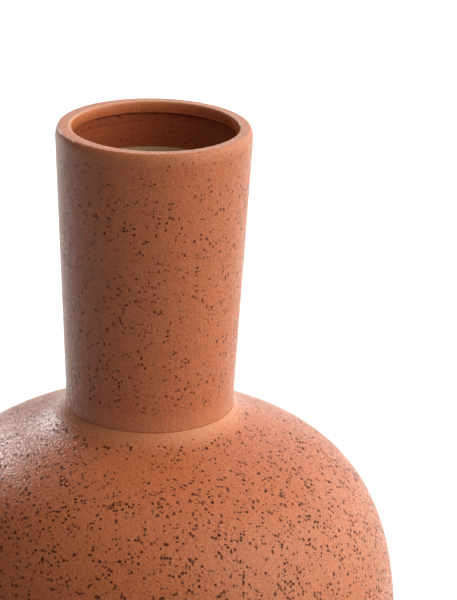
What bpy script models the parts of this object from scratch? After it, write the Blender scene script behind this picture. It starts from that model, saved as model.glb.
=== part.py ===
"""Ceramic bottle vase, built from the clay pieces and glaze coats it is made of.

Frame: metres, +Z up along the turning axis, origin at the centre of the foot's resting face.
Every piece is a turned profile in the XZ plane, revolved about Z by a Screw modifier.
"""
import math

import bpy
from mathutils import Vector

# Driving dimensions, in metres.
HEIGHT = 0.215                  # foot to mouth
MOUTH_RADIUS = 0.0278           # outer radius of the neck at the lip
CREASE_RADIUS = 0.0243          # outer radius of the neck at its foot
CREASE_DEPTH = 0.0818           # from the mouth down to the crease at the neck's foot
BELLY_RADIUS = 0.0725           # widest radius of the body
BELLY_DEPTH = 0.1511            # from the mouth down to the widest line
FOOT_RADIUS = 0.0405            # outer radius of the foot ring
FOOT_HEIGHT = 0.0045
FOOT_WIDTH = 0.0075             # radial width of the foot ring's resting face
WALL = 0.0045                   # thickness of the body's wall
FLOOR = 0.005                   # thickness of the bowl's floor
GAP = 0.0003                    # clearance between pieces that touch

# Lip ring.
LIP_DEPTH = 0.0065              # from the mouth down to the joint with the neck
LIP_WALL = 0.0043               # radial width of the ring's top
LIP_FACE = 0.0034               # height of the inner face above the undercut ledge
LIP_UNDERCUT = 0.0007           # how far the wall steps outward below the ledge
LIP_ROUND = (0.0011, 0.0030)    # outer rounding: radial, vertical
LIP_BREAK = 0.0003              # small break on the inner edge

# Joints.
LAP_HEIGHT = 0.0025             # depth of the lapped joints
SPIGOT_RADIUS = 0.0232          # outer radius of the neck's lower end
NECK_FOOT_WALL = 0.0035         # wall of the neck at the crease

# Neck collar.
COLLAR_REACH = 0.0052           # how far the collar flares out beyond the crease
COLLAR_DROP = 0.0052            # how far it falls below the crease
COLLAR_TOP_SLOPE = math.radians(60.0)
COLLAR_FOOT_SLOPE = math.radians(30.5)
COLLAR_TOE = 0.0003             # height of the collar's outer edge
COLLAR_HANDLE = 1.0 / 3.0       # reach of its Bezier handles, as a share of its span

# Outline of the body: how far each Bezier handle reaches.
SHOULDER_HANDLE = 0.0137
SHOULDER_BELLY_HANDLE = 0.0557
BOWL_BELLY_HANDLE = 0.040
BOWL_FOOT_HANDLE = 0.0145
BOWL_FOOT_SLOPE = math.radians(24.0)
FLOOR_CORNER = 2.0              # how far the cavity runs inward for each step down to the floor

# Cream glaze inside.
LINER_DEPTH = 0.0133            # from the mouth down to the liner's upper edge
LINER_COAT = 0.0006

# Fineness.
SEGMENTS = 40                   # steps around the axis
SHELL_STEPS = 10                # steps along each half of a wall
LINER_STEPS = 6                 # steps along each half of the liner
ARC_STEPS = 5                   # steps in a rounded edge
FOOT_BREAK = 0.0006             # bevel on the foot ring's lower edges
MERGE = 0.00001

CREASE_Z = HEIGHT - CREASE_DEPTH
BELLY_Z = HEIGHT - BELLY_DEPTH
SEAT_RADIUS = CREASE_RADIUS + COLLAR_REACH
SEAT_Z = CREASE_Z - COLLAR_DROP
LIP_Z = HEIGHT - LIP_DEPTH
BORE_RADIUS = SPIGOT_RADIUS + GAP
FLOOR_Z = FOOT_HEIGHT + FLOOR

# Finishes: colour and roughness.
TERRACOTTA = ((0.45, 0.17, 0.085, 1.0), 0.55)
COLLAR_PEACH = ((0.52, 0.22, 0.12, 1.0), 0.50)
CREAM = ((0.62, 0.52, 0.40, 1.0), 0.40)
BARE_CLAY = ((0.50, 0.30, 0.19, 1.0), 0.85)


def clear_scene():
    """Remove every object, so that the model starts from nothing."""
    for item in list(bpy.data.objects):
        bpy.data.objects.remove(item, do_unlink=True)


def make_collection(name):
    """Make a collection in the scene."""
    collection = bpy.data.collections.new(name)
    bpy.context.scene.collection.children.link(collection)
    return collection


def make_material(name, finish):
    """Make a plain ceramic finish from its colour and roughness."""
    colour, roughness = finish
    material = bpy.data.materials.new(name)
    material.use_nodes = True
    shader = material.node_tree.nodes["Principled BSDF"]
    shader.inputs["Base Color"].default_value = colour
    shader.inputs["Roughness"].default_value = roughness
    shader.inputs["Metallic"].default_value = 0.0
    return material


def turned_piece(name, profile, closed, material, collection):
    """Revolve a profile of (radius, height) points, ordered down its outer side."""
    points = [(radius, 0.0, height) for radius, height in profile]
    edges = [(i, i + 1) for i in range(len(points) - 1)]
    if closed:
        edges.append((len(points) - 1, 0))
    mesh = bpy.data.meshes.new(name)
    mesh.from_pydata(points, edges, [])
    mesh.materials.append(material)
    piece = bpy.data.objects.new(name, mesh)
    collection.objects.link(piece)
    screw = piece.modifiers.new("turning", 'SCREW')
    screw.axis = 'Z'
    screw.angle = math.tau
    screw.steps = SEGMENTS
    screw.render_steps = SEGMENTS
    screw.use_merge_vertices = True
    screw.merge_threshold = MERGE
    screw.use_smooth_shade = True
    return piece


def bezier(start, start_handle, end_handle, end, steps):
    """Points along a cubic Bezier, both ends included."""
    points = []
    for i in range(steps + 1):
        t = i / steps
        u = 1.0 - t
        points.append(u ** 3 * start + 3 * u * u * t * start_handle
                      + 3 * u * t * t * end_handle + t ** 3 * end)
    return points


def offset_inward(line, distance):
    """Move a line that runs down the outer side towards the axis, square to itself."""
    moved = []
    for i, point in enumerate(line):
        before = line[max(i - 1, 0)]
        after = line[min(i + 1, len(line) - 1)]
        along = (after - before).normalized()
        moved.append(point + Vector((along.y, -along.x)) * distance)
    return moved


def shoulder_line(steps):
    """Outer line of the body from the collar's edge to the widest line."""
    start = Vector((SEAT_RADIUS, SEAT_Z))
    end = Vector((BELLY_RADIUS, BELLY_Z))
    fall = Vector((math.cos(COLLAR_FOOT_SLOPE), -math.sin(COLLAR_FOOT_SLOPE)))
    return bezier(start, start + fall * SHOULDER_HANDLE,
                  end + Vector((0.0, SHOULDER_BELLY_HANDLE)), end, steps)


def bowl_line(steps):
    """Outer line of the body from the widest line to the foot ring."""
    start = Vector((BELLY_RADIUS, BELLY_Z))
    end = Vector((FOOT_RADIUS, FOOT_HEIGHT))
    rise = Vector((math.cos(BOWL_FOOT_SLOPE), math.sin(BOWL_FOOT_SLOPE)))
    return bezier(start, start - Vector((0.0, BOWL_BELLY_HANDLE)),
                  end + rise * BOWL_FOOT_HANDLE, end, steps)


def cavity_line(steps, clearance):
    """Inner line of the body from under the neck down to the floor's centre."""
    shoulder = offset_inward(shoulder_line(steps), WALL + clearance)
    bowl = offset_inward(bowl_line(steps), WALL + clearance)
    floor_z = FLOOR_Z + clearance
    wall = [point for point in shoulder + bowl[1:] if point.y > floor_z + LINER_COAT]
    corner = Vector((wall[-1].x - (wall[-1].y - floor_z) * FLOOR_CORNER, floor_z))
    return wall + [corner, Vector((0.0, floor_z))]


def rounded_corner(centre, radii, start_angle, end_angle):
    """Points on an elliptical corner, both ends included."""
    points = []
    for i in range(ARC_STEPS + 1):
        angle = start_angle + (end_angle - start_angle) * i / ARC_STEPS
        points.append((centre[0] + radii[0] * math.cos(angle),
                       centre[1] + radii[1] * math.sin(angle)))
    return points


def neck_radius(height):
    """Outer radius of the neck at a height."""
    share = (height - CREASE_Z) / (HEIGHT - LIP_ROUND[1] - CREASE_Z)
    return CREASE_RADIUS + (MOUTH_RADIUS - CREASE_RADIUS) * share


def neck_bore_radius(height):
    """Inner radius of the neck at a height, from the ledge down to the spigot's end."""
    top = MOUTH_RADIUS - LIP_WALL + LIP_UNDERCUT
    foot = CREASE_RADIUS - NECK_FOOT_WALL
    share = (height - CREASE_Z) / (HEIGHT - LIP_FACE - CREASE_Z)
    return foot + (top - foot) * max(share, 0.0)


def lap_radius(height):
    """Radius of the upright face in the joint between lip ring and neck."""
    return 0.5 * (neck_radius(height) + neck_bore_radius(height))


def lip_ring_profile():
    """Mouth ring: its outer half laps down over the neck's inner half."""
    outer = neck_radius(HEIGHT - LIP_ROUND[1])
    inner = MOUTH_RADIUS - LIP_WALL
    ledge_z = HEIGHT - LIP_FACE
    joint_z = LIP_Z + LAP_HEIGHT
    lap = lap_radius(LIP_Z) + GAP
    profile = [(inner, HEIGHT - LIP_BREAK), (inner + LIP_BREAK, HEIGHT)]
    profile += rounded_corner((outer - LIP_ROUND[0], HEIGHT - LIP_ROUND[1]), LIP_ROUND,
                              math.pi / 2, 0.0)
    profile += [(neck_radius(LIP_Z), LIP_Z), (lap, LIP_Z), (lap, joint_z)]
    profile += [(neck_bore_radius(joint_z), joint_z), (neck_bore_radius(ledge_z), ledge_z - GAP),
                (inner, ledge_z)]
    return profile


def neck_tube_profile(spigot_z):
    """Neck: a tongue at the top, a step at the crease and a spigot below it."""
    lap = lap_radius(LIP_Z)
    tongue_z = LIP_Z + LAP_HEIGHT - GAP
    rim_z = LIP_Z - GAP
    foot = neck_bore_radius(CREASE_Z)
    return [(neck_bore_radius(tongue_z), tongue_z), (lap, tongue_z), (lap, rim_z),
            (neck_radius(rim_z), rim_z), (CREASE_RADIUS, CREASE_Z),
            (SPIGOT_RADIUS, CREASE_Z), (SPIGOT_RADIUS, spigot_z), (foot, spigot_z),
            (foot, CREASE_Z)]


def collar_profile():
    """Collar: a concave flare between the crease and the shoulder."""
    top = Vector((CREASE_RADIUS, CREASE_Z - GAP))
    toe = Vector((SEAT_RADIUS, SEAT_Z + COLLAR_TOE))
    reach = (toe - top).length * COLLAR_HANDLE
    leave = Vector((math.cos(COLLAR_TOP_SLOPE), -math.sin(COLLAR_TOP_SLOPE)))
    arrive = Vector((math.cos(COLLAR_FOOT_SLOPE), -math.sin(COLLAR_FOOT_SLOPE)))
    flare = bezier(top, top + leave * reach, toe - arrive * reach, toe, ARC_STEPS)
    profile = [(BORE_RADIUS, top.y)] + [tuple(point) for point in flare]
    return profile + [(SEAT_RADIUS, SEAT_Z), (BORE_RADIUS, SEAT_Z)]


def shoulder_profile(spigot_z):
    """Upper half of the body: the collar's seat, the neck's bore and a lapped lower edge."""
    outer = [tuple(point) for point in shoulder_line(SHELL_STEPS)]
    inner = offset_inward(shoulder_line(SHELL_STEPS), WALL)
    outer[0] = (SEAT_RADIUS, SEAT_Z - GAP)
    middle = BELLY_RADIUS - 0.5 * WALL
    profile = [(BORE_RADIUS, SEAT_Z - GAP)] + outer
    profile += [(middle + GAP, BELLY_Z), (middle + GAP, BELLY_Z + LAP_HEIGHT)]
    wall = [tuple(point) for point in inner if point.y > BELLY_Z + LAP_HEIGHT]
    profile += [(BELLY_RADIUS - WALL, BELLY_Z + LAP_HEIGHT)] + wall[::-1]
    return profile + [(BORE_RADIUS, spigot_z)]


def bowl_profile():
    """Lower half of the body with its floor; its inner half laps up into the shoulder."""
    middle = BELLY_RADIUS - 0.5 * WALL
    tongue_z = BELLY_Z + LAP_HEIGHT - GAP
    outer = [tuple(point) for point in bowl_line(SHELL_STEPS)]
    outer[0] = (BELLY_RADIUS, BELLY_Z - GAP)
    cavity = [tuple(point) for point in cavity_line(SHELL_STEPS, 0.0) if point.y < BELLY_Z]
    profile = cavity[::-1] + [(BELLY_RADIUS - WALL, tongue_z), (middle, tongue_z)]
    profile += [(middle, BELLY_Z - GAP)] + outer
    return profile + [(0.0, FOOT_HEIGHT)]


def foot_profile():
    """Foot ring with a flat resting face and broken lower edges."""
    inner = FOOT_RADIUS - FOOT_WIDTH
    top = FOOT_HEIGHT - GAP
    return [(inner, top), (FOOT_RADIUS, top), (FOOT_RADIUS, FOOT_BREAK),
            (FOOT_RADIUS - FOOT_BREAK, 0.0), (inner + FOOT_BREAK, 0.0), (inner, FOOT_BREAK)]


def neck_liner_profile(spigot_z):
    """Cream glaze in the neck, from its upper edge to the spigot's end."""
    top = HEIGHT - LINER_DEPTH
    outer = [(neck_bore_radius(z) - GAP, z) for z in (top, CREASE_Z, spigot_z)]
    inner = [(radius - LINER_COAT, z) for radius, z in outer]
    return outer + inner[::-1]


def belly_liner_profile(spigot_z):
    """Cream glaze in the belly: one coat over walls and floor, open under the neck."""
    edge = neck_bore_radius(CREASE_Z) - GAP
    outer = cavity_line(LINER_STEPS, GAP)
    inner = cavity_line(LINER_STEPS, GAP + LINER_COAT)
    top = spigot_z - GAP
    coat = [(edge, top)] + [tuple(point) for point in outer if point.y < top]
    lining = [(edge, top - LINER_COAT)]
    lining += [tuple(point) for point in inner if point.y < top - LINER_COAT]
    return lining[::-1] + coat


def build_vase():
    """Make every piece of the vase."""
    vase = make_collection("ceramic_vase")
    glaze = make_material("terracotta_glaze", TERRACOTTA)
    peach = make_material("collar_glaze", COLLAR_PEACH)
    cream = make_material("cream_glaze", CREAM)
    clay = make_material("bare_clay", BARE_CLAY)
    spigot_z = offset_inward(shoulder_line(SHELL_STEPS), WALL)[0].y
    pieces = (
        ("lip_ring", lip_ring_profile(), True, glaze),
        ("neck_tube", neck_tube_profile(spigot_z), True, glaze),
        ("neck_collar", collar_profile(), True, peach),
        ("shoulder_shell", shoulder_profile(spigot_z), True, glaze),
        ("belly_bowl", bowl_profile(), False, glaze),
        ("foot_ring", foot_profile(), True, clay),
        ("neck_liner_glaze", neck_liner_profile(spigot_z), True, cream),
        ("belly_liner_glaze", belly_liner_profile(spigot_z), False, cream),
    )
    for name, profile, closed, material in pieces:
        turned_piece(name, profile, closed, material, vase)


clear_scene()
build_vase()
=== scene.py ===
"""Looks for a speckled terracotta bottle vase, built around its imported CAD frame.

Every piece of the vase is a turned wall: an outline of (radius, height) points that a
Geometry Nodes tree revolves about the vase's axis. Sizes and places come from the frame.
"""
from __future__ import annotations

import logging
import math
from dataclasses import dataclass, field
from enum import Enum
from typing import Any, Callable, Sequence

import bpy
import numpy as np
from mathutils import Matrix, Vector


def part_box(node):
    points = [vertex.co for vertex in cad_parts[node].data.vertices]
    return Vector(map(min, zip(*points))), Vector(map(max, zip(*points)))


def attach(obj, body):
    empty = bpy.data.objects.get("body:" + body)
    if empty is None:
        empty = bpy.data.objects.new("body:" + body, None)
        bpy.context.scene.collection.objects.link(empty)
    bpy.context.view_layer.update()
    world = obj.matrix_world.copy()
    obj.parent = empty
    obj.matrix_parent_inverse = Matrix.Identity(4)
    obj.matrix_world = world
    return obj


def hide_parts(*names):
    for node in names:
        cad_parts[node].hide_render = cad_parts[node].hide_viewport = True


Colour = tuple[float, float, float, float]
Material = bpy.types.Material
Socket = bpy.types.NodeSocket
Piece = bpy.types.Object
Tree = bpy.types.NodeTree

LOG = logging.getLogger("vase")
BODY = "root"
SEGMENTS = 288                  # steps around the axis, the same for every piece
SHARP_ANGLE = math.radians(24.0)
MM = 0.001
MM_PER_METRE = 1000.0
MERGE_DISTANCE = 0.000001
AXIS_FADE = 20.0 * MM           # the wobble fades out this close to the axis

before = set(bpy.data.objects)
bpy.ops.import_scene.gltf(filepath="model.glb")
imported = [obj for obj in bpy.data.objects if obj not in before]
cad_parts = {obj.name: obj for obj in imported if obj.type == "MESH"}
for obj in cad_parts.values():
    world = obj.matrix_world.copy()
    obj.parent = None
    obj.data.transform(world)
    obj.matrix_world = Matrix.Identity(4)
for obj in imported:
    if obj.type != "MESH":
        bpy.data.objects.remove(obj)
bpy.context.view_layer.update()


class SocketKind(Enum):
    """Kinds of socket that the node groups use."""

    GEOMETRY = "NodeSocketGeometry"
    FLOAT = "NodeSocketFloat"
    INTEGER = "NodeSocketInt"
    BOOLEAN = "NodeSocketBool"
    VECTOR = "NodeSocketVector"
    COLOUR = "NodeSocketColor"
    MATERIAL = "NodeSocketMaterial"


class Mark(Enum):
    """Values that an outline carries along its length, stored on the turned mesh."""

    SPECKLE = "speckle_share"   # how much of the full speckle a place has
    PEACH = "collar_peach"      # how far the glaze turns to the collar's lighter tone
    EDGE = "edge_break"         # how far the glaze lightens: breaking thin over an edge, plus painted highlights and sheen
    POOL = "glaze_pool"         # painted shade: how far the glaze is darkened in the bore and under the ledge
    SHIFT = "bore_shift"        # sideways offset of a place, in metres
    TILT = "seam_tilt"          # how far a place drops at the front and rises at the back


@dataclass(frozen=True)
class Port:
    """One named input or output of a node group."""

    name: str
    kind: SocketKind
    default: Any = None


def numbers(**defaults: float | None) -> list[Port]:
    """Ports for numbers, by name and usual value."""
    return [Port(name, SocketKind.FLOAT, value) for name, value in defaults.items()]


class NodeSheet:
    """A node tree with short calls for adding and joining nodes."""

    def __init__(self, tree: Tree) -> None:
        """Keep the tree that the nodes go in."""
        self.tree = tree

    def add(self, kind: str, inputs: dict[str | int, Any] | None = None,
            **settings: Any) -> bpy.types.Node:
        """Add a node.

        Args:
            kind: The node's type name.
            inputs: Values or sockets for its inputs, by name or place.
            settings: Properties of the node itself.

        Returns:
            The new node.
        """
        node = self.tree.nodes.new(kind)
        for name, value in settings.items():
            setattr(node, name, value)
        for key, value in (inputs or {}).items():
            self.feed(node.inputs[key], value)
        return node

    def feed(self, socket: Socket, value: Any) -> None:
        """Join a socket to another one, or give it a constant."""
        if isinstance(value, Socket):
            self.tree.links.new(value, socket)
        else:
            socket.default_value = value

    def math(self, operation: str, *values: Any, clamp: bool = False) -> Socket:
        """Add a Math node and return its result."""
        node = self.add("ShaderNodeMath", dict(enumerate(values)), operation=operation,
                        use_clamp=clamp)
        return node.outputs[0]

    def vector(self, operation: str, *values: Any) -> Socket:
        """Add a Vector Math node and return its vector."""
        node = self.add("ShaderNodeVectorMath", dict(enumerate(values)), operation=operation)
        return node.outputs["Vector"]

    def scaled(self, vector: Any, factor: Any) -> Socket:
        """Scale a vector by a number."""
        inputs = {0: vector, "Scale": factor}
        return self.add("ShaderNodeVectorMath", inputs, operation='SCALE').outputs["Vector"]

    def joined(self, x: Any = 0.0, y: Any = 0.0, z: Any = 0.0) -> Socket:
        """Make a vector from its x, y and z."""
        return self.add("ShaderNodeCombineXYZ", {0: x, 1: y, 2: z}).outputs["Vector"]

    def named(self, name: str) -> Socket:
        """Read a named value of a mesh in a Geometry Nodes tree."""
        node = self.add("GeometryNodeInputNamedAttribute", {"Name": name}, data_type='FLOAT')
        return node.outputs["Attribute"]

    def remap(self, value: Any, low: Any, high: Any, start: Any = 0.0,
              end: Any = 1.0) -> Socket:
        """Map a value smoothly from the span low to high onto start to end."""
        node = self.add("ShaderNodeMapRange", {"Value": value, "From Min": low,
                                               "From Max": high, "To Min": start,
                                               "To Max": end},
                        interpolation_type='SMOOTHSTEP')
        return node.outputs["Result"]

    def blend(self, share: Any, first: Any, second: Any, mode: str = 'MIX') -> Socket:
        """Mix two colours and return the result."""
        node = self.add("ShaderNodeMix", {0: share, 6: first, 7: second}, data_type='RGBA',
                        blend_type=mode)
        return node.outputs[2]

    def noise(self, place: Any, scale: Any, detail: float = 2.0,
              roughness: float = 0.5) -> bpy.types.Node:
        """Add a noise texture read at a place."""
        return self.add("ShaderNodeTexNoise", {"Vector": place, "Scale": scale,
                                               "Detail": detail, "Roughness": roughness})

    def use(self, group: Tree, inputs: dict[str, Any]) -> bpy.types.Node:
        """Place a shader node group with its own values."""
        return self.add("ShaderNodeGroup", inputs, node_tree=group)


def new_group(name: str, kind: str, inputs: Sequence[Port],
              outputs: Sequence[Port]) -> tuple[NodeSheet, Any, Any]:
    """Make an empty node group.

    Args:
        name: The group's name.
        kind: The tree's type name.
        inputs: Its named inputs.
        outputs: Its named outputs.

    Returns:
        The sheet to add nodes to, the input node's outputs and the output node's inputs.
    """
    tree = bpy.data.node_groups.new(name, kind)
    for ports, side in ((inputs, 'INPUT'), (outputs, 'OUTPUT')):
        for port in ports:
            socket = tree.interface.new_socket(name=port.name, in_out=side,
                                               socket_type=port.kind.value)
            if port.default is not None:
                socket.default_value = port.default
    source = tree.nodes.new("NodeGroupInput")
    result = tree.nodes.new("NodeGroupOutput")
    return NodeSheet(tree), source.outputs, result.inputs


# ---- effects shared by finishes


class Effects:
    """Shader node groups that more than one finish uses, each built once."""

    ragged_scale = 2.6              # noise that bends the spots' outlines
    crowd_scale = 0.16              # noise that gathers the spots in clusters
    crowd_span = (0.36, 0.66)       # its values for the emptiest and fullest places
    smallest_spot = 0.55            # size of the smallest spot against the stated radius
    spot_spread = 0.8               # how much larger than that the largest spot is
    tone_layers = (("Drift", 0.035, 2.0), ("Mottle", 0.33, 3.0), ("Grain", 2.2, 1.0))
    grit_scale = 3.7                # grit's fineness against the waves of the skin

    def __init__(self) -> None:
        """Build every group."""
        self.speckle = self._speckle()
        self.tone = self._tone()
        self.peel = self._peel()

    def _speckle(self) -> Tree:
        """Iron spots that melt through a glaze, in clusters and of mixed sizes."""
        sheet, given, made = new_group(
            "iron_speckle", "ShaderNodeTree",
            [Port("Place", SocketKind.VECTOR),
             *numbers(Spacing=1.0, Radius=0.3, Share=0.3, Ragged=0.2, Cluster=0.5,
                      Softness=0.4)],
            numbers(Mask=None, Cell=None))
        ragged = sheet.noise(given["Place"], self.ragged_scale, detail=1.0)
        bent = sheet.vector('SUBTRACT', ragged.outputs["Color"], (0.5, 0.5, 0.5))
        place = sheet.vector('ADD', given["Place"], sheet.scaled(bent, given["Ragged"]))
        scale = sheet.math('DIVIDE', 1.0, given["Spacing"])
        cells = sheet.add("ShaderNodeTexVoronoi", {"Vector": place, "Scale": scale},
                          feature='F1')
        random = sheet.add("ShaderNodeSeparateColor", {0: cells.outputs["Color"]})
        drift = sheet.noise(given["Place"], self.crowd_scale, detail=2.0)
        crowd = sheet.remap(drift.outputs["Fac"], *self.crowd_span, -1.0, 1.0)
        crowd = sheet.math('MULTIPLY_ADD', crowd, given["Cluster"], 1.0)
        share = sheet.math('MULTIPLY', given["Share"], crowd)
        kept = sheet.math('LESS_THAN', random.outputs[0], share)
        size = sheet.math('MULTIPLY_ADD', random.outputs[1], self.spot_spread,
                          self.smallest_spot)
        radius = sheet.math('MULTIPLY', sheet.math('MULTIPLY', given["Radius"], scale), size)
        core = sheet.math('MULTIPLY', radius, sheet.math('SUBTRACT', 1.0, given["Softness"]))
        disc = sheet.remap(cells.outputs["Distance"], core, radius, 1.0, 0.0)
        sheet.feed(made["Mask"], sheet.math('MULTIPLY', disc, kept))
        sheet.feed(made["Cell"], random.outputs[2])
        return sheet.tree

    def _tone(self) -> Tree:
        """Cloudy lighter and darker places, from broad drifts down to fine grain."""
        sheet, given, made = new_group(
            "fired_tone", "ShaderNodeTree",
            [Port("Place", SocketKind.VECTOR), Port("Colour", SocketKind.COLOUR),
             *numbers(Drift=0.1, Mottle=0.1, Grain=0.1)],
            [Port("Colour", SocketKind.COLOUR), *numbers(Value=None)])
        total: Any = 1.0
        for amount, scale, detail in self.tone_layers:
            layer = sheet.noise(given["Place"], scale, detail=detail)
            centred = sheet.math('SUBTRACT', layer.outputs["Fac"], 0.5)
            doubled = sheet.math('MULTIPLY', centred, 2.0)
            total = sheet.math('MULTIPLY_ADD', doubled, given[amount], total)
        grey = sheet.add("ShaderNodeCombineColor", {0: total, 1: total, 2: total})
        toned = sheet.blend(1.0, given["Colour"], grey.outputs[0], 'MULTIPLY')
        sheet.feed(made["Colour"], toned)
        sheet.feed(made["Value"], total)
        return sheet.tree

    def _peel(self) -> Tree:
        """The height of a glaze's fine orange-peel skin."""
        sheet, given, made = new_group(
            "orange_peel", "ShaderNodeTree",
            [Port("Place", SocketKind.VECTOR), *numbers(Pitch=1.0, Grit=0.3)],
            numbers(Height=None))
        scale = sheet.math('DIVIDE', 1.0, given["Pitch"])
        waves = sheet.noise(given["Place"], scale, detail=2.0, roughness=0.6)
        fine = sheet.noise(given["Place"], sheet.math('MULTIPLY', scale, self.grit_scale),
                           detail=1.0)
        height = sheet.math('MULTIPLY_ADD', fine.outputs["Fac"], given["Grit"],
                            waves.outputs["Fac"])
        sheet.feed(made["Height"], height)
        return sheet.tree


# ---- finishes


@dataclass(frozen=True)
class Finish:
    """A surface finish with a name and a way to make its material."""

    name: str

    def start(self) -> tuple[Material, NodeSheet, Any, Any]:
        """Make the material.

        Returns:
            The material, its sheet, its Principled node and the place in millimetres.
        """
        material = bpy.data.materials.new(self.name)
        material.use_nodes = True
        sheet = NodeSheet(material.node_tree)
        shader = material.node_tree.nodes["Principled BSDF"]
        where = sheet.add("ShaderNodeTexCoord")
        scaled = sheet.add("ShaderNodeMapping", {"Vector": where.outputs["Object"],
                                                 "Scale": (MM_PER_METRE,) * 3})
        return material, sheet, shader, scaled.outputs["Vector"]

    @staticmethod
    def mark(sheet: NodeSheet, mark: Mark) -> Socket:
        """Read one of the outline's marks."""
        return sheet.add("ShaderNodeAttribute", attribute_name=mark.value).outputs["Fac"]

    @staticmethod
    def relief(sheet: NodeSheet, shader: Any, height: Any, depth: float) -> None:
        """Turn a height into a bump of a given depth in metres."""
        bump = sheet.add("ShaderNodeBump", {"Height": height, "Distance": depth,
                                            "Strength": 1.0})
        sheet.feed(shader.inputs["Normal"], bump.outputs["Normal"])


@dataclass(frozen=True)
class SpeckledGlaze(Finish):
    """Satin-matte terracotta glaze with iron spots, lighter where it breaks on an edge and
    with painted highlights and sheen, darker with painted shade inside the mouth and neck.
    """

    colour: Colour = (0.53, 0.143, 0.055, 1.0)
    peach: Colour = (0.63, 0.215, 0.095, 1.0)
    # lighter tone for glaze breaking thin, also used for painted highlights and sheen
    edge: Colour = (0.70, 0.32, 0.18, 1.0)
    # painted shade colour for the bore, the ledge's undercut and the lip's inner face
    pool: Colour = (0.27, 0.055, 0.022, 1.0)
    spot: Colour = (0.050, 0.006, 0.001, 1.0)
    faint: Colour = (0.22, 0.050, 0.020, 1.0)
    smoothest: float = 0.14
    roughest: float = 0.43
    spot_roughness: float = 0.8
    specular: float = 0.27
    peel_depth: float = 0.00017
    skin_low: float = 0.52              # skin heights that are smoothest and roughest
    skin_high: float = 0.82
    share: float = 0.265                # share of the cells that hold a spot
    radius: float = 0.48                # spots' usual radius in millimetres
    least_size: float = 0.35            # share of it that is left where the speckle is thin
    crowding: float = 2.2               # how fast the number of spots grows with the mark
    faintest: float = 0.85              # strength of the palest spots
    dust_share: float = 0.6
    dust_strength: float = 0.6

    def material(self, effects: Effects) -> Material:
        """Make the glaze's material from the shared effects."""
        material, sheet, shader, place = self.start()
        tone = sheet.use(effects.tone, {"Place": place, "Colour": self.colour,
                                        "Drift": 0.07, "Mottle": 0.14, "Grain": 0.32})
        peach = self.mark(sheet, Mark.PEACH)
        base = sheet.blend(peach, tone.outputs["Colour"], self.peach)
        # painted shade inside the mouth and down the bore
        base = sheet.blend(self.mark(sheet, Mark.POOL), base, self.pool)
        # glaze breaking thin on edges, plus painted highlights and sheen
        base = sheet.blend(self.mark(sheet, Mark.EDGE), base, self.edge)
        share = self.mark(sheet, Mark.SPECKLE)
        dust = sheet.use(effects.speckle, {
            "Place": place, "Spacing": 0.7, "Radius": 0.24, "Ragged": 0.25, "Cluster": 0.4,
            "Softness": 0.6, "Share": sheet.math('MULTIPLY', share, self.dust_share)})
        size = sheet.math('MULTIPLY_ADD', share, (1.0 - self.least_size) * self.radius,
                          self.least_size * self.radius)
        crowd = sheet.math('MULTIPLY', share, self.crowding, clamp=True)
        spots = sheet.use(effects.speckle, {
            "Place": place, "Spacing": 0.88, "Radius": size, "Ragged": 0.8,
            "Cluster": 0.5, "Softness": 0.2,
            "Share": sheet.math('MULTIPLY', crowd, self.share)})
        faint = sheet.math('MULTIPLY', dust.outputs["Mask"], self.dust_strength)
        colour = sheet.blend(faint, base, self.faint)
        strength = sheet.math('MULTIPLY_ADD', spots.outputs["Cell"], 1.0 - self.faintest,
                              self.faintest)
        strength = sheet.math('MULTIPLY', strength, spots.outputs["Mask"])
        colour = sheet.blend(strength, colour, self.spot)
        sheet.feed(shader.inputs["Base Color"], colour)
        shader.inputs["Specular IOR Level"].default_value = self.specular
        peel = sheet.use(effects.peel, {"Place": place, "Pitch": 0.9, "Grit": 0.35})
        rough = sheet.remap(peel.outputs["Height"], self.skin_low, self.skin_high,
                            self.smoothest, self.roughest)
        dull = sheet.math('MULTIPLY', strength, self.spot_roughness)
        sheet.feed(shader.inputs["Roughness"], sheet.math('MAXIMUM', rough, dull))
        self.relief(sheet, shader, peel.outputs["Height"], self.peel_depth)
        return material


@dataclass(frozen=True)
class FleckedFinish(Finish):
    """A cloudy finish with flecks in it and a fine skin."""

    tone = {}                           # the values that each shared effect takes
    flecks = {}
    skin = {}
    colour: Colour
    fleck: Colour
    roughness: float
    roughness_drift: float              # how far the roughness follows the tone
    fleck_strength: float
    relief_depth: float

    def height(self, sheet: NodeSheet, place: Socket, skin: Socket) -> Socket:
        """The height of the relief, from the skin's."""
        return skin

    def material(self, effects: Effects) -> Material:
        """Make the finish's material from the shared effects."""
        material, sheet, shader, place = self.start()
        tone = sheet.use(effects.tone, {"Place": place, "Colour": self.colour, **self.tone})
        flecks = sheet.use(effects.speckle, {"Place": place, **self.flecks})
        share = sheet.math('MULTIPLY', flecks.outputs["Mask"], self.fleck_strength)
        colour = sheet.blend(share, tone.outputs["Colour"], self.fleck)
        sheet.feed(shader.inputs["Base Color"], colour)
        rough: Any = self.roughness
        if self.roughness_drift:
            rough = sheet.math('MULTIPLY_ADD', tone.outputs["Value"], self.roughness_drift,
                               self.roughness - self.roughness_drift)
        sheet.feed(shader.inputs["Roughness"], rough)
        peel = sheet.use(effects.peel, {"Place": place, **self.skin})
        self.relief(sheet, shader, self.height(sheet, place, peel.outputs["Height"]),
                    self.relief_depth)
        return material


@dataclass(frozen=True)
class CreamGlaze(FleckedFinish):
    """Plain satin liner glaze, cream with a faint bloom of the clay beneath."""

    colour: Colour = (0.50, 0.35, 0.20, 1.0)
    fleck: Colour = (0.25, 0.14, 0.08, 1.0)
    roughness: float = 0.36
    roughness_drift: float = 0.08
    fleck_strength: float = 0.6
    relief_depth: float = 0.00005
    tone = {"Drift": 0.08, "Mottle": 0.05, "Grain": 0.03}
    flecks = {"Spacing": 1.6, "Radius": 0.22, "Share": 0.12, "Ragged": 0.2, "Cluster": 0.6,
              "Softness": 0.6}
    skin = {"Pitch": 2.2, "Grit": 0.1}


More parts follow.
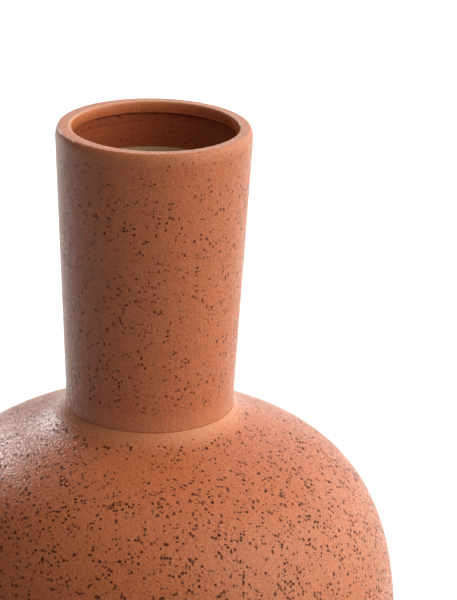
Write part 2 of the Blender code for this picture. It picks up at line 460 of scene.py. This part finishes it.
@dataclass(frozen=True)
class BareClay(FleckedFinish):
    """Unglazed fired clay with fine sand in it and faint rings from the turning tool."""

    colour: Colour = (0.56, 0.34, 0.21, 1.0)
    fleck: Colour = (0.16, 0.08, 0.05, 1.0)
    roughness: float = 0.86
    roughness_drift: float = 0.0
    fleck_strength: float = 0.75
    ring_share: float = 0.35            # height of the tool's rings against the sand's
    relief_depth: float = 0.00009
    tone = {"Drift": 0.08, "Mottle": 0.12, "Grain": 0.16}
    flecks = {"Spacing": 0.9, "Radius": 0.26, "Share": 0.25, "Ragged": 0.4, "Cluster": 0.5,
              "Softness": 0.5}
    skin = {"Pitch": 0.45, "Grit": 0.8}

    def height(self, sheet: NodeSheet, place: Socket, skin: Socket) -> Socket:
        """The sand's grain with the turning tool's rings on it."""
        rings = sheet.add("ShaderNodeTexWave", {"Vector": place, "Scale": 0.55,
                                                "Distortion": 0.6, "Detail": 2.0},
                          wave_type='RINGS', rings_direction='Z')
        return sheet.math('MULTIPLY_ADD', rings.outputs["Fac"], self.ring_share, skin)


@dataclass(frozen=True)
class StudioPaper(Finish):
    """Matt white paper for the floor."""

    colour: Colour = (0.90, 0.90, 0.90, 1.0)
    roughness: float = 0.9
    specular: float = 0.2

    def material(self, effects: Effects) -> Material:
        """Make the paper's material."""
        material, sheet, shader, place = self.start()
        tone = sheet.use(effects.tone, {"Place": place, "Colour": self.colour,
                                        "Drift": 0.0, "Mottle": 0.004, "Grain": 0.01})
        sheet.feed(shader.inputs["Base Color"], tone.outputs["Colour"])
        shader.inputs["Roughness"].default_value = self.roughness
        shader.inputs["Specular IOR Level"].default_value = self.specular
        return material


# ---- turned walls


def turning_tree() -> tuple[Tree, dict[str, str]]:
    """Build the Geometry Nodes tree that revolves an outline about Z.

    Returns:
        The tree, and each input's socket identifier by name.
    """
    ports = [Port("Outline", SocketKind.GEOMETRY), Port("Segments", SocketKind.INTEGER, 64),
             Port("Closed", SocketKind.BOOLEAN, True), Port("Wobble", SocketKind.FLOAT, 0.0),
             Port("Wobble Scale", SocketKind.FLOAT, 10.0), Port("Seed", SocketKind.INTEGER, 1),
             Port("Finish", SocketKind.MATERIAL)]
    sheet, given, made = new_group("turned_wall", "GeometryNodeTree", ports,
                                   [Port("Wall", SocketKind.GEOMETRY)])
    count = sheet.add("GeometryNodeAttributeDomainSize",
                      {"Geometry": given["Outline"]}).outputs["Point Count"]
    rows = sheet.math('ADD', count, given["Closed"])
    columns = sheet.math('ADD', given["Segments"], 1.0)
    grid = sheet.add("GeometryNodeMeshGrid", {"Vertices X": columns, "Vertices Y": rows})
    index = sheet.add("GeometryNodeInputIndex").outputs["Index"]
    column = sheet.math('FLOOR', sheet.math('DIVIDE', sheet.math('ADD', index, 0.5), rows))
    row = sheet.math('SUBTRACT', index, sheet.math('MULTIPLY', column, rows))
    step = sheet.math('MODULO', row, count)
    turn = sheet.math('DIVIDE', column, given["Segments"])
    run = sheet.math('DIVIDE', row, sheet.math('SUBTRACT', rows, 1.0))
    wall = grid.outputs["Mesh"]

    def sampled(value: Any, kind: str) -> Socket:
        """Read a value of the outline at this vertex's step along it."""
        node = sheet.add("GeometryNodeSampleIndex",
                         {"Geometry": given["Outline"], "Index": step},
                         data_type=kind, domain='POINT')
        sheet.feed(node.inputs["Value"], value)
        return node.outputs["Value"]

    def stored(geometry: Any, name: str, value: Any, domain: str) -> Socket:
        """Store a named value on the wall."""
        node = sheet.add("GeometryNodeStoreNamedAttribute",
                         {"Geometry": geometry, "Name": name, "Value": value},
                         data_type='FLOAT', domain=domain)
        return node.outputs["Geometry"]

    for mark in Mark:
        wall = stored(wall, mark.value, sampled(sheet.named(mark.value), 'FLOAT'), 'POINT')
    for name, value in (("turn", turn), ("run", run)):
        wall = stored(wall, name + "_point", value, 'POINT')
        wall = stored(wall, name, sheet.named(name + "_point"), 'CORNER')

    place = sampled(sheet.add("GeometryNodeInputPosition").outputs["Position"], 'FLOAT_VECTOR')
    parts = sheet.add("ShaderNodeSeparateXYZ", {0: place})
    angle = sheet.math('MULTIPLY', turn, math.tau)
    east = sheet.math('COSINE', angle)
    north = sheet.math('SINE', angle)
    outward = sheet.joined(x=east, y=north)
    level = sheet.joined(z=parts.outputs["Z"])
    still = sheet.vector('ADD', sheet.scaled(outward, parts.outputs["X"]), level)
    drift = sheet.add("ShaderNodeTexNoise",
                      {"Vector": still, "W": given["Seed"], "Scale": given["Wobble Scale"],
                       "Detail": 1.0}, noise_dimensions='4D')
    depth = sheet.math('MULTIPLY', drift.outputs["Fac"],
                       sheet.math('MULTIPLY', given["Wobble"], -1.0))
    fade = sheet.math('MULTIPLY', parts.outputs["X"], 1.0 / AXIS_FADE, clamp=True)
    wander = sheet.scaled(outward, sheet.math('MULTIPLY', depth, fade))
    rise = sheet.math('MULTIPLY', sheet.named(Mark.TILT.value), north)
    aside = sheet.joined(x=sheet.named(Mark.SHIFT.value), z=rise)
    moved = sheet.vector('ADD', sheet.vector('ADD', still, wander), aside)
    for kind, inputs in (("GeometryNodeSetPosition", {"Position": moved}),
                         ("GeometryNodeMergeByDistance", {"Distance": MERGE_DISTANCE}),
                         ("GeometryNodeSetShadeSmooth", {}),
                         ("GeometryNodeRealizeInstances", {}),
                         ("GeometryNodeSetMaterial", {"Material": given["Finish"]})):
        wall = sheet.add(kind, {"Geometry": wall, **inputs}).outputs["Geometry"]
    sheet.feed(made["Wall"], wall)
    keys = {item.name: item.identifier for item in sheet.tree.interface.items_tree
            if item.in_out == 'INPUT'}
    return sheet.tree, keys


MarkValue = float | Callable[[Vector], float]


class Outline:
    """A piece's profile: (radius, height) points that run down its outer side, with marks."""

    def __init__(self, tilt: Callable[[float], float] | None = None,
                 closed: bool = True) -> None:
        """Start an empty outline.

        Args:
            tilt: The seam's tilt at a height, where the piece has any.
            closed: Whether it closes on itself, or else ends on the axis.
        """
        self.tilt = tilt
        self.closed = closed
        self.points: list[Vector] = []
        self.marks: dict[Mark, list[float]] = {mark: [] for mark in Mark}
        self.skin = (0, 0)

    def extend(self, points: Sequence[Vector], skin: bool = False,
               **marks: MarkValue) -> None:
        """Add points.

        Args:
            points: (radius, height) points in metres.
            skin: Whether they are the stretch that shows most, for the texture map.
            marks: A value, or a function of the point, for each mark by lower-case name.
        """
        if skin:
            self.skin = (len(self.points), len(self.points) + len(points) - 1)
        for point in points:
            self.points.append(Vector(point))
            for mark in Mark:
                value = marks.get(mark.name.lower(), 0.0)
                self.marks[mark].append(value(point) if callable(value) else value)
            if self.tilt is not None:
                self.marks[Mark.TILT][-1] = self.tilt(point.y)

    def show_all(self) -> None:
        """Take every point so far as the stretch that shows most."""
        self.skin = (0, len(self.points) - 1)


def placed(name: str, data: Any) -> Piece:
    """Make an object from its data and put it in the scene."""
    item = bpy.data.objects.new(name, data)
    bpy.context.scene.collection.objects.link(item)
    return item


class Lathe:
    """Turns outlines into finished pieces."""

    wobble = 0.00016            # deepest unevenness of a hand-finished wall
    wobble_scale = 14.0
    seed = 5
    margin = 0.004              # border of the texture map's bands
    skin_share = 0.46           # height of each of the two bands that the skin takes

    def __init__(self) -> None:
        """Build the turning tree once."""
        self.tree, self.keys = turning_tree()

    def turn(self, name: str, node: str, slot: str, outline: Outline,
             finish: Material) -> Piece:
        """Make a piece that stands for a CAD node.

        Args:
            name: The piece's name.
            node: The CAD node that it stands for.
            slot: The record's material slot; not used.
            outline: Its profile.
            finish: Its material.

        Returns:
            The finished piece, riding on the vase's body.
        """
        mesh = bpy.data.meshes.new(name + "_outline")
        mesh.from_pydata([(p.x, 0.0, p.y) for p in outline.points], [], [])
        for mark, values in outline.marks.items():
            mesh.attributes.new(mark.value, 'FLOAT', 'POINT').data.foreach_set("value", values)
        piece = placed(name, mesh)
        turning = piece.modifiers.new("turning", 'NODES')
        turning.node_group = self.tree
        values = {"Segments": SEGMENTS, "Closed": outline.closed, "Wobble": self.wobble,
                  "Wobble Scale": self.wobble_scale, "Seed": self.seed, "Finish": finish}
        for key, value in values.items():
            turning[self.keys[key]] = value
        graph = bpy.context.evaluated_depsgraph_get()
        turned = bpy.data.meshes.new_from_object(piece.evaluated_get(graph), depsgraph=graph)
        turned.name = name
        piece.modifiers.remove(turning)
        piece.data = turned
        bpy.data.meshes.remove(mesh)
        self._lay_out_map(turned, outline)
        turned.set_sharp_from_angle(angle=SHARP_ANGLE)
        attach(piece, BODY)
        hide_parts(node)
        LOG.info("%s: %d faces for %s", name, len(turned.polygons), node)
        return piece

    def _lay_out_map(self, mesh: bpy.types.Mesh, outline: Outline) -> None:
        """Unroll the piece: two wide bands for its skin, one narrow band for the rest."""
        turn = self._read(mesh.attributes["turn"].data, "value", np.float32)
        run = self._read(mesh.attributes["run"].data, "value", np.float32)
        starts = self._read(mesh.polygons, "loop_start", np.int32)
        sizes = self._read(mesh.polygons, "loop_total", np.int32)
        owner = np.repeat(np.arange(len(starts)), sizes)
        mean_turn = (np.add.reduceat(turn, starts) / sizes)[owner]
        rows = len(outline.points) - (0 if outline.closed else 1)
        row = run * rows
        mean_row = (np.add.reduceat(row, starts) / sizes)[owner]
        first, last = outline.skin
        on_skin = (mean_row > first) & (mean_row < last)
        half = (mean_turn > 0.5).astype(np.float32)
        along = self._distances(outline)
        reach = np.interp(row, np.arange(rows + 1), along)
        span = along[last] - along[first]
        share = self.skin_share
        u_skin = (turn - 0.5 * half) * 2.0
        v_skin = half * share + share * (reach - along[first]) / max(span, 1e-9)
        after = np.where(row >= last, reach - along[last], reach + along[-1] - along[last])
        v_rest = 2 * share + (1 - 2 * share) * after / (along[-1] - span)
        u = np.where(on_skin, u_skin, turn)
        v = np.where(on_skin, v_skin, v_rest)
        low = np.where(on_skin, half * share, 2 * share)
        high = np.where(on_skin, low + share, 1.0)
        v = low + self.margin + (v - low) * (high - low - 2 * self.margin) / (high - low)
        u = self.margin + u * (1 - 2 * self.margin)
        layer = mesh.uv_layers.new(name="OFBake")
        layer.data.foreach_set("uv", np.stack([u, v], -1).astype(np.float32).ravel())
        for name in ("turn", "run", "turn_point", "run_point", Mark.SHIFT.value,
                     Mark.TILT.value):
            mesh.attributes.remove(mesh.attributes[name])

    @staticmethod
    def _read(data: Any, key: str, kind: type) -> np.ndarray:
        """Read one property of all the parts of a mesh."""
        values = np.empty(len(data), kind)
        data.foreach_get(key, values)
        return values

    @staticmethod
    def _distances(outline: Outline) -> np.ndarray:
        """Distance run along the outline at each of its points, and back to its start."""
        points = np.array([tuple(p) for p in outline.points])
        if outline.closed:
            points = np.vstack([points, points[:1]])
        steps = np.hypot(*np.diff(points, axis=0).T)
        return np.concatenate([[0.0], np.cumsum(steps)])


def bezier(start: Vector, start_handle: Vector, end_handle: Vector, end: Vector,
           steps: int) -> list[Vector]:
    """Points along a cubic Bezier, both ends included."""
    points = []
    for i in range(steps + 1):
        t = i / steps
        u = 1.0 - t
        points.append(u ** 3 * start + 3 * u * u * t * start_handle
                      + 3 * u * t * t * end_handle + t ** 3 * end)
    return points


def corner(centre: Vector, radii: tuple[float, float], start: float, end: float,
           steps: int = 8) -> list[Vector]:
    """Points on an elliptical corner from one angle in degrees to another."""
    angles = [math.radians(start + (end - start) * i / steps) for i in range(steps + 1)]
    return [centre + Vector((radii[0] * math.cos(a), radii[1] * math.sin(a)))
            for a in angles]


def straight(start: Vector, end: Vector, steps: int) -> list[Vector]:
    """Evenly spaced points on a line, both ends included."""
    return [start.lerp(end, i / steps) for i in range(steps + 1)]


def inward(line: Sequence[Vector], distance: float) -> list[Vector]:
    """A line that runs down the outer side, moved square to itself towards the axis."""
    moved = []
    for i, point in enumerate(line):
        along = (line[min(i + 1, len(line) - 1)] - line[max(i - 1, 0)]).normalized()
        moved.append(point + Vector((along.y, -along.x)) * distance)
    return moved


def at(out: float, up: float) -> Vector:
    """A place or a step in an outline's plane, as (radius, height)."""
    return Vector((out, up))


def top(node: str) -> float:
    """Height of a CAD node's top."""
    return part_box(node)[1][2]


def bottom(node: str) -> float:
    """Height of a CAD node's bottom."""
    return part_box(node)[0][2]


def radius(node: str) -> float:
    """Outer radius of a CAD node."""
    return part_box(node)[1][0]


# ---- sub-assemblies


@dataclass
class Neck:
    """The mouth ring, the tapering neck and the collar at its foot."""

    lathe: Lathe
    glaze: Material
    lip_wall: float = 4.3 * MM          # width of the lip's top
    lip_face: float = 3.4 * MM          # height of the inner face above the ledge
    undercut: float = 0.7 * MM
    round_out: float = 1.2 * MM         # outer rounding, across
    round_down: float = 3.0 * MM        # outer rounding, down
    inner_break: float = 0.6 * MM       # inner rounding, across
    inner_down: float = 1.8 * MM        # inner rounding, down
    ledge_round: float = 0.2 * MM
    ledge_groove: float = 0.5 * MM      # extra depth of the shadow line under the ledge
    lean: float = 0.32 * MM             # how far the bore sits off the ring's centre
    plain_band: float = 4.6 * MM        # smooth band above the crease
    foot_radius: float = 24.3 * MM
    foot_round: float = 0.3 * MM
    foot_wall: float = 3.5 * MM
    spigot_radius: float = 23.2 * MM
    joint_bore: float = 23.5 * MM       # bore of the collar and shoulder round the spigot
    groove: float = 0.05 * MM           # depth of the crease under the neck's edge
    seam_tilt: float = 0.7 * MM         # the hand-set seam drops this far at the front
    band_swell: float = 0.14 * MM       # the plain band stands this far proud
    band_blend: float = 1.2 * MM        # height over which the neck swells to the band
    most_speckle: float = 0.64
    lip_speckle: float = 0.3            # share of that at the mouth
    lip_fade: float = 20.0 * MM         # that share grows by 1 over this height
    band_overlap: float = 1.0 * MM      # speckle reaches this far into the plain band
    band_fade: float = 4.0 * MM
    foot_painted_sheen: float = 0.22            # strength of the painted sheen at the neck's foot
    crest_break_and_highlight: float = 0.95           # how light the lip's inner crest is: thin glaze plus a painted highlight line
    crest_depth: float = 0.6 * MM
    collar_bare: float = 0.15           # share of the collar's width without speckle
    collar_full: float = 0.65           # share of it where the speckle is full
    peach_reach: float = 0.8            # share of it where the peach tone ends
    collar_top_slope: float = math.radians(60.0)
    collar_foot_slope: float = math.radians(30.5)
    mouth_z: float = field(init=False)
    lip_z: float = field(init=False)
    crease_z: float = field(init=False)
    spigot_z: float = field(init=False)
    seat: Vector = field(init=False)

    def __post_init__(self) -> None:
        """Read the heights that the frame gives."""
        self.mouth_z = top("lip_ring")
        self.lip_z = bottom("lip_ring")
        self.spigot_z = bottom("neck_tube")
        self.seat = at(radius("neck_collar"), bottom("neck_collar"))
        self.crease_z = top("neck_collar")

    def tilt(self, height: float) -> float:
        """Tilt of the hand-set seam: full at the crease, none at mouth and widest line."""
        widest = bottom("shoulder_shell")
        above = (self.mouth_z - height) / (self.mouth_z - self.crease_z)
        below = (height - widest) / (self.seat.y - widest)
        return self.seam_tilt * max(0.0, min(1.0, above, below))

    def outer_radius(self, height: float) -> float:
        """Outer radius of the neck: a straight taper that ends in a slightly proud band."""
        start = self.crease_z + self.plain_band
        end = self.mouth_z - self.round_down
        share = max(0.0, (height - start) / (end - start))
        swell = min(1.0, max(0.0, (start - height) / self.band_blend))
        foot = self.foot_radius - self.band_swell * (1.0 - swell)
        return foot + (radius("lip_ring") - foot) * share

    def bore_radius(self, height: float) -> float:
        """Inner radius of the neck below the ledge."""
        head = radius("lip_ring") - self.lip_wall + self.undercut
        foot = self.foot_radius - self.foot_wall
        end = self.mouth_z - self.lip_face
        share = max(0.0, (height - self.crease_z) / (end - self.crease_z))
        return foot + (head - foot) * share

    def speckle(self, point: Vector) -> float:
        """Share of speckle on the neck: little at the lip, none on the plain band."""
        lip = min(1.0, self.lip_speckle + (self.mouth_z - point.y) / self.lip_fade)
        edge = self.crease_z + self.plain_band - self.band_overlap
        band = (point.y - edge) / self.band_fade
        return self.most_speckle * lip * min(1.0, max(0.0, band))

    def sheen(self, point: Vector) -> float:
        """Painted sheen on the glaze, strongest at the neck's foot and gone at the top of the
        plain band.
        """
        return self.foot_painted_sheen * max(0.0, 1.0 - (point.y - self.crease_z) / self.plain_band)

    def collar_speckle(self, point: Vector) -> float:
        """Share of speckle on the collar: none next to the crease, full further out."""
        share = (point.x - self.foot_radius) / (self.seat.x - self.foot_radius)
        rise = (share - self.collar_bare) / (self.collar_full - self.collar_bare)
        return min(1.0, max(0.0, rise))

    def crest(self, point: Vector) -> float:
        """The glaze breaks thin along the lip's inner crest, with a painted highlight line on
        it.
        """
        depth = (self.mouth_z - point.y) / self.crest_depth
        return self.crest_break_and_highlight * max(0.0, 1.0 - depth)

    def mouth_ring(self) -> Piece:
        """The lip: flat on top, softly rounded outside, crisp inside, with a ledge."""
        inner = radius("lip_ring") - self.lip_wall
        outer = self.outer_radius(self.mouth_z - self.round_down)
        ledge_z = self.mouth_z - self.lip_face
        rim = at(outer - self.round_out, self.mouth_z - self.round_down)
        edge = at(inner + self.inner_break, self.mouth_z - self.inner_down)
        under = self.bore_radius(ledge_z)
        outline = Outline(self.tilt)
        # the inner crest is lightened: thin glaze plus a painted highlight line
        outline.extend(corner(edge, (self.inner_break, self.inner_down), 180.0, 90.0, 12),
                       edge=self.crest, shift=self.lean, speckle=0.15)
        outline.extend(straight(at(edge.x, self.mouth_z), at(rim.x, self.mouth_z), 8)[1:-1],
                       edge=0.18, speckle=0.12)
        outline.extend(corner(rim, (self.round_out, self.round_down), 90.0, 0.0, 16),
                       edge=0.15, speckle=self.speckle)
        side = [at(self.outer_radius(z), z) for z in np.linspace(rim.y, self.lip_z, 6)[1:]]
        outline.extend(side, speckle=self.speckle)
        outline.show_all()
        joint = at(self.bore_radius(self.lip_z), self.lip_z)
        # painted shade down the bore, deepest under the ledge and fading up the lip's inner
        # face
        outline.extend([joint], pool=0.8)
        outline.extend(straight(joint, at(under, ledge_z - self.ledge_groove), 4)[1:],
                       speckle=0.5, shift=self.lean, pool=0.9)
        outline.extend([at(under + self.ledge_groove, ledge_z)], pool=1.0, shift=self.lean)
        nose = at(inner + self.ledge_round, ledge_z + self.ledge_round)
        outline.extend(corner(nose, (self.ledge_round,) * 2, 270.0, 180.0, 6),
                       shift=self.lean, pool=0.6)
        outline.extend(straight(at(inner, nose.y), at(inner, edge.y), 6)[1:-1],
                       speckle=0.5, shift=self.lean, pool=0.25)
        return self.lathe.turn("mouth_ring", "lip_ring", "terracotta_glaze", outline,
                               self.glaze)

    def neck(self) -> Piece:
        """The tapering neck with its upright foot band and the spigot below it."""
        foot = at(self.foot_radius - self.foot_round, self.crease_z + self.foot_round)
        heights = np.linspace(self.lip_z, foot.y, 65)
        outline = Outline(self.tilt)
        # painted sheen near the neck's foot
        outline.extend([at(self.outer_radius(z), z) for z in heights],
                       speckle=self.speckle, edge=self.sheen)
        # painted highlight on the neck's foot corner
        outline.extend(corner(foot, (self.foot_round,) * 2, 0.0, -90.0, 5)[1:], edge=0.25)
        outline.show_all()
        bore = self.foot_radius - self.foot_wall
        outline.extend([at(self.spigot_radius, self.crease_z),
                        at(self.spigot_radius, self.spigot_z), at(bore, self.spigot_z)])
        inner = np.linspace(self.crease_z, self.lip_z, 26)
        # painted shade in the neck's bore
        outline.extend([at(self.bore_radius(z), z) for z in inner], speckle=0.3, pool=0.8)
        return self.lathe.turn("neck", "neck_tube", "terracotta_glaze", outline, self.glaze)

    def collar(self) -> Piece:
        """The small flared collar between the crease and the shoulder."""
        start = at(self.foot_radius - self.groove, self.crease_z)
        reach = (self.seat - start).length / 3.0
        leave = at(math.cos(self.collar_top_slope), -math.sin(self.collar_top_slope))
        arrive = at(math.cos(self.collar_foot_slope), -math.sin(self.collar_foot_slope))
        flare = bezier(start, start + leave * reach, self.seat - arrive * reach, self.seat, 20)

        def fade(point: Vector) -> float:
            """Full peach at the crease, fading towards the shoulder."""
            share = (point.x - start.x) / (self.seat.x - start.x)
            return max(0.0, 1.0 - share / self.peach_reach)

        outline = Outline(self.tilt)
        outline.extend(flare, skin=True, peach=fade, speckle=self.collar_speckle)
        outline.extend([at(self.joint_bore, self.seat.y), at(self.joint_bore, self.crease_z)])
        return self.lathe.turn("collar", "neck_collar", "collar_glaze", outline, self.glaze)


@dataclass
class Belly:
    """The round body: shoulder, bowl and foot ring."""

    lathe: Lathe
    glaze: Material
    clay: Material
    neck: Neck
    wall: float = 4.5 * MM
    floor: float = 5.0 * MM
    sweep_rise: float = 1.2 * MM        # the wall's curve to the floor starts this high
    sweep_width: float = 4.0 * MM
    sweep_sag: float = 0.3 * MM
    least_speckle: float = 0.54         # share of speckle next to the collar
    speckle_reach: float = 30.0 * MM    # that share grows by 1 over this distance
    shoulder_handle: float = 13.7 * MM
    shoulder_belly_handle: float = 55.7 * MM
    bowl_belly_handle: float = 40.0 * MM
    bowl_foot_handle: float = 14.5 * MM
    bowl_foot_slope: float = math.radians(24.0)
    foot_width: float = 7.5 * MM
    foot_break: float = 0.7 * MM
    widest: Vector = field(init=False)
    foot: Vector = field(init=False)

    def __post_init__(self) -> None:
        """Read the widest line and the foot from the frame."""
        self.widest = at(radius("shoulder_shell"), bottom("shoulder_shell"))
        self.foot = at(radius("foot_ring"), bottom("belly_bowl"))

    def shoulder_line(self, steps: int) -> list[Vector]:
        """Outer line from the collar's edge to the widest line."""
        slope = self.neck.collar_foot_slope
        fall = at(math.cos(slope), -math.sin(slope))
        return bezier(self.neck.seat, self.neck.seat + fall * self.shoulder_handle,
                      self.widest + at(0.0, self.shoulder_belly_handle), self.widest, steps)

    def bowl_line(self, steps: int) -> list[Vector]:
        """Outer line from the widest line to the foot ring."""
        slope = self.bowl_foot_slope
        rise = at(math.cos(slope), math.sin(slope))
        return bezier(self.widest, self.widest - at(0.0, self.bowl_belly_handle),
                      self.foot + rise * self.bowl_foot_handle, self.foot, steps)

    def cavity_line(self, steps: int, clearance: float) -> list[Vector]:
        """Inner line of the wall from under the neck down to the floor's centre."""
        depth = self.wall + clearance
        floor_z = self.foot.y + self.floor + clearance
        line = inward(self.shoulder_line(steps), depth)
        line += inward(self.bowl_line(steps), depth)[1:]
        wall = [point for point in line if point.y > floor_z + self.sweep_rise]
        start = wall[-1]
        meet = at(start.x - self.sweep_width, floor_z)
        sweep = bezier(start, start.lerp(meet, 0.5) - at(0.0, self.sweep_sag),
                       meet + at(0.5 * self.sweep_width, 0.0), meet, 6)
        return wall + sweep[1:] + straight(meet, at(0.0, floor_z), 8)[1:]

    def shoulder_speckle(self, point: Vector) -> float:
        """Share of speckle on the shoulder: it thins out towards the collar."""
        out = (point - self.neck.seat).length
        return min(1.0, self.least_speckle + out / self.speckle_reach)

    def shoulder(self) -> Piece:
        """The upper half of the body."""
        skin = self.shoulder_line(80)
        lining = inward(self.shoulder_line(28), self.wall)
        outline = Outline(self.neck.tilt)
        outline.extend(skin, skin=True, speckle=self.shoulder_speckle)
        outline.extend(lining[::-1])
        outline.extend([at(self.neck.joint_bore, lining[0].y),
                        at(self.neck.joint_bore, self.neck.seat.y)])
        return self.lathe.turn("shoulder", "shoulder_shell", "terracotta_glaze", outline,
                               self.glaze)

    def bowl(self) -> Piece:
        """The lower half of the body with its floor."""
        cavity = [point for point in self.cavity_line(28, 0.0) if point.y < self.widest.y]
        outline = Outline(closed=False)
        outline.extend(cavity[::-1])
        outline.extend([at(self.widest.x - self.wall, self.widest.y)])
        outline.extend(self.bowl_line(80), skin=True, speckle=1.0)
        outline.extend(straight(self.foot, at(0.0, self.foot.y), 12)[1:], speckle=0.8)
        return self.lathe.turn("bowl", "belly_bowl", "terracotta_glaze", outline, self.glaze)

    def foot_ring(self) -> Piece:
        """The turned ring that the vase stands on."""
        base = bottom("foot_ring")
        inner = self.foot.x - self.foot_width
        cut = (self.foot_break,) * 2
        outline = Outline()
        outline.extend(straight(self.foot, at(self.foot.x, base + cut[0]), 6)[:-1])
        outline.extend(corner(at(self.foot.x - cut[0], base + cut[0]), cut, 0.0, -90.0))
        outline.extend(corner(at(inner + cut[0], base + cut[0]), cut, -90.0, -180.0))
        outline.extend(straight(at(inner, base + cut[0]), at(inner, self.foot.y), 6)[1:])
        outline.show_all()
        return self.lathe.turn("foot", "foot_ring", "bare_clay", outline, self.clay)


@dataclass
class Liner:
    """The cream glaze poured inside: one coat in the neck, one in the belly."""

    lathe: Lathe
    cream: Material
    neck: Neck
    belly: Belly
    gap: float = 0.05 * MM
    coat: float = 0.8 * MM
    edge_coat: float = 0.1 * MM         # thickness at the neck coat's upper edge
    edge_drop: float = 0.35 * MM        # the coat ends this far below its highest place

    def neck_coat(self) -> Piece:
        """The coat in the neck, thin at its upper edge."""
        head = top("neck_liner_glaze") - self.edge_drop
        heights = np.linspace(head, self.neck.spigot_z, 40)
        wall = [at(self.neck.bore_radius(z) - self.gap, z) for z in heights]
        face = [point - at(self.coat, 0.0) for point in wall]
        face[0] = wall[0] - at(self.edge_coat, 0.0)
        face[1] = wall[1] - at(0.5 * self.coat, 0.0)
        outline = Outline(self.neck.tilt)
        outline.extend(wall)
        outline.extend(face[::-1], skin=True)
        return self.lathe.turn("neck_liner", "neck_liner_glaze", "cream_glaze", outline,
                               self.cream)

    def belly_coat(self) -> Piece:
        """The coat over the belly's wall and floor."""
        head = self.neck.spigot_z
        edge = self.neck.bore_radius(self.neck.spigot_z) - self.gap
        wall = self.belly.cavity_line(28, self.gap)
        face = self.belly.cavity_line(28, self.coat)
        lining = [p for p in face if p.y < head - self.coat]
        outline = Outline(self.neck.tilt, closed=False)
        outline.extend(lining[::-1], skin=True)
        outline.extend([at(edge - self.coat, head - self.coat), at(edge - self.coat, head)])
        outline.extend([p for p in wall if p.y < head])
        return self.lathe.turn("belly_liner", "belly_liner_glaze", "cream_glaze", outline,
                               self.cream)


# ---- studio


@dataclass(frozen=True)
class Softbox:
    """A square area light that looks at the vase."""

    name: str
    place: tuple[float, float, float]
    size: float
    power: float
    tint: tuple[float, float, float] = (1.0, 1.0, 1.0)

    def build(self, target: Vector) -> None:
        """Make the light, aimed at a point."""
        data = bpy.data.lights.new(self.name, 'AREA')
        data.shape = 'SQUARE'
        data.size = self.size
        data.energy = self.power
        data.color = self.tint
        light = placed(self.name, data)
        light.location = self.place
        away = light.location - target
        light.rotation_euler = away.to_track_quat('Z', 'Y').to_euler()
        light.visible_camera = False


@dataclass
class Studio:
    """The floor, the lights and the camera."""

    paper: Material
    mouth: Vector
    floor_half: float = 9.0
    floor_drop: float = 0.1 * MM        # keeps the floor clear of the resting face
    ambient: float = 0.18
    wash: float = 0.30                  # strength of the light that only the floor takes
    wash_angle: float = math.radians(50.0)
    aim: float = 0.6                    # height the lights look at, against the mouth's
    distance: float = 1.0353
    elevation: float = 0.2985
    yaw: float = -0.0208
    pitch: float = -0.0467
    roll: float = -0.0171
    focal: float = 222.3
    sensor: float = 36.0
    softboxes: tuple[Softbox, ...] = (
        Softbox("key_right", (1.37, -0.40, 0.93), 2.0, 39.5, (0.96, 1.0, 0.90)),
        Softbox("back_left", (-1.0, 1.85, 0.88), 0.5, 18.0),
        Softbox("back_wall", (1.1, 2.6, 1.5), 3.2, 42.0),
        Softbox("side_right", (1.8, 1.0, 0.55), 1.4, 13.0, (0.82, 1.0, 0.92)),
        Softbox("overhead", (0.2, 0.1, 2.2), 1.6, 4.0),
    )

    def build_floor(self) -> None:
        """Make the pale floor under the foot."""
        half, level = self.floor_half, -self.floor_drop
        corners = [(-half, -half, level), (half, -half, level), (half, half, level),
                   (-half, half, level)]
        mesh = bpy.data.meshes.new("floor")
        mesh.from_pydata(corners, [], [(0, 1, 2, 3)])
        mesh.materials.append(self.paper)
        floor = placed("floor", mesh)
        floor.visible_diffuse = False
        lamp = bpy.data.lights.new("floor_wash", 'SUN')
        lamp.energy = self.wash
        lamp.angle = self.wash_angle
        floor_only = bpy.data.collections.new("floor_only")
        floor_only.objects.link(floor)
        placed("floor_wash", lamp).light_linking.receiver_collection = floor_only

    def build_lights(self) -> None:
        """Hang the softboxes and set an even white surrounding."""
        target = Vector((0.0, 0.0, self.aim * self.mouth.z))
        for softbox in self.softboxes:
            softbox.build(target)
        world = bpy.data.worlds.new("studio")
        world.use_nodes = True
        background = world.node_tree.nodes["Background"]
        background.inputs["Color"].default_value = (1.0, 1.0, 1.0, 1.0)
        background.inputs["Strength"].default_value = self.ambient
        bpy.context.scene.world = world
        bpy.context.scene.view_settings.view_transform = 'Standard'

    def build_camera(self) -> None:
        """Set the camera above the mouth's level, looking slightly down and past it."""
        data = bpy.data.cameras.new("camera")
        data.sensor_width = self.sensor
        data.lens = self.focal
        camera = placed("camera", data)
        back = Vector((0.0, -math.cos(self.elevation), math.sin(self.elevation)))
        turn = (Matrix.Rotation(math.pi / 2 - self.elevation, 4, 'X')
                @ Matrix.Rotation(self.yaw, 4, 'Y') @ Matrix.Rotation(self.pitch, 4, 'X')
                @ Matrix.Rotation(-self.roll, 4, 'Z'))
        camera.matrix_world = Matrix.Translation(self.mouth + back * self.distance) @ turn
        bpy.context.scene.camera = camera


def main() -> None:
    """Build the vase and the studio around it."""
    logging.basicConfig(level=logging.INFO, format="%(name)s: %(message)s")
    effects = Effects()
    glaze = SpeckledGlaze("terracotta_speckled_glaze").material(effects)
    cream = CreamGlaze("cream_liner_glaze").material(effects)
    clay = BareClay("bare_clay").material(effects)
    paper = StudioPaper("studio_paper").material(effects)
    lathe = Lathe()
    neck = Neck(lathe, glaze)
    belly = Belly(lathe, glaze, clay, neck)
    liner = Liner(lathe, cream, neck, belly)
    pieces = [neck.mouth_ring(), neck.neck(), neck.collar(), belly.shoulder(), belly.bowl(),
              belly.foot_ring(), liner.neck_coat(), liner.belly_coat()]
    LOG.info("%d pieces", len(pieces))
    studio = Studio(paper, Vector((0.0, 0.0, neck.mouth_z)))
    studio.build_floor()
    studio.build_lights()
    studio.build_camera()


if __name__ == "__main__":
    main()
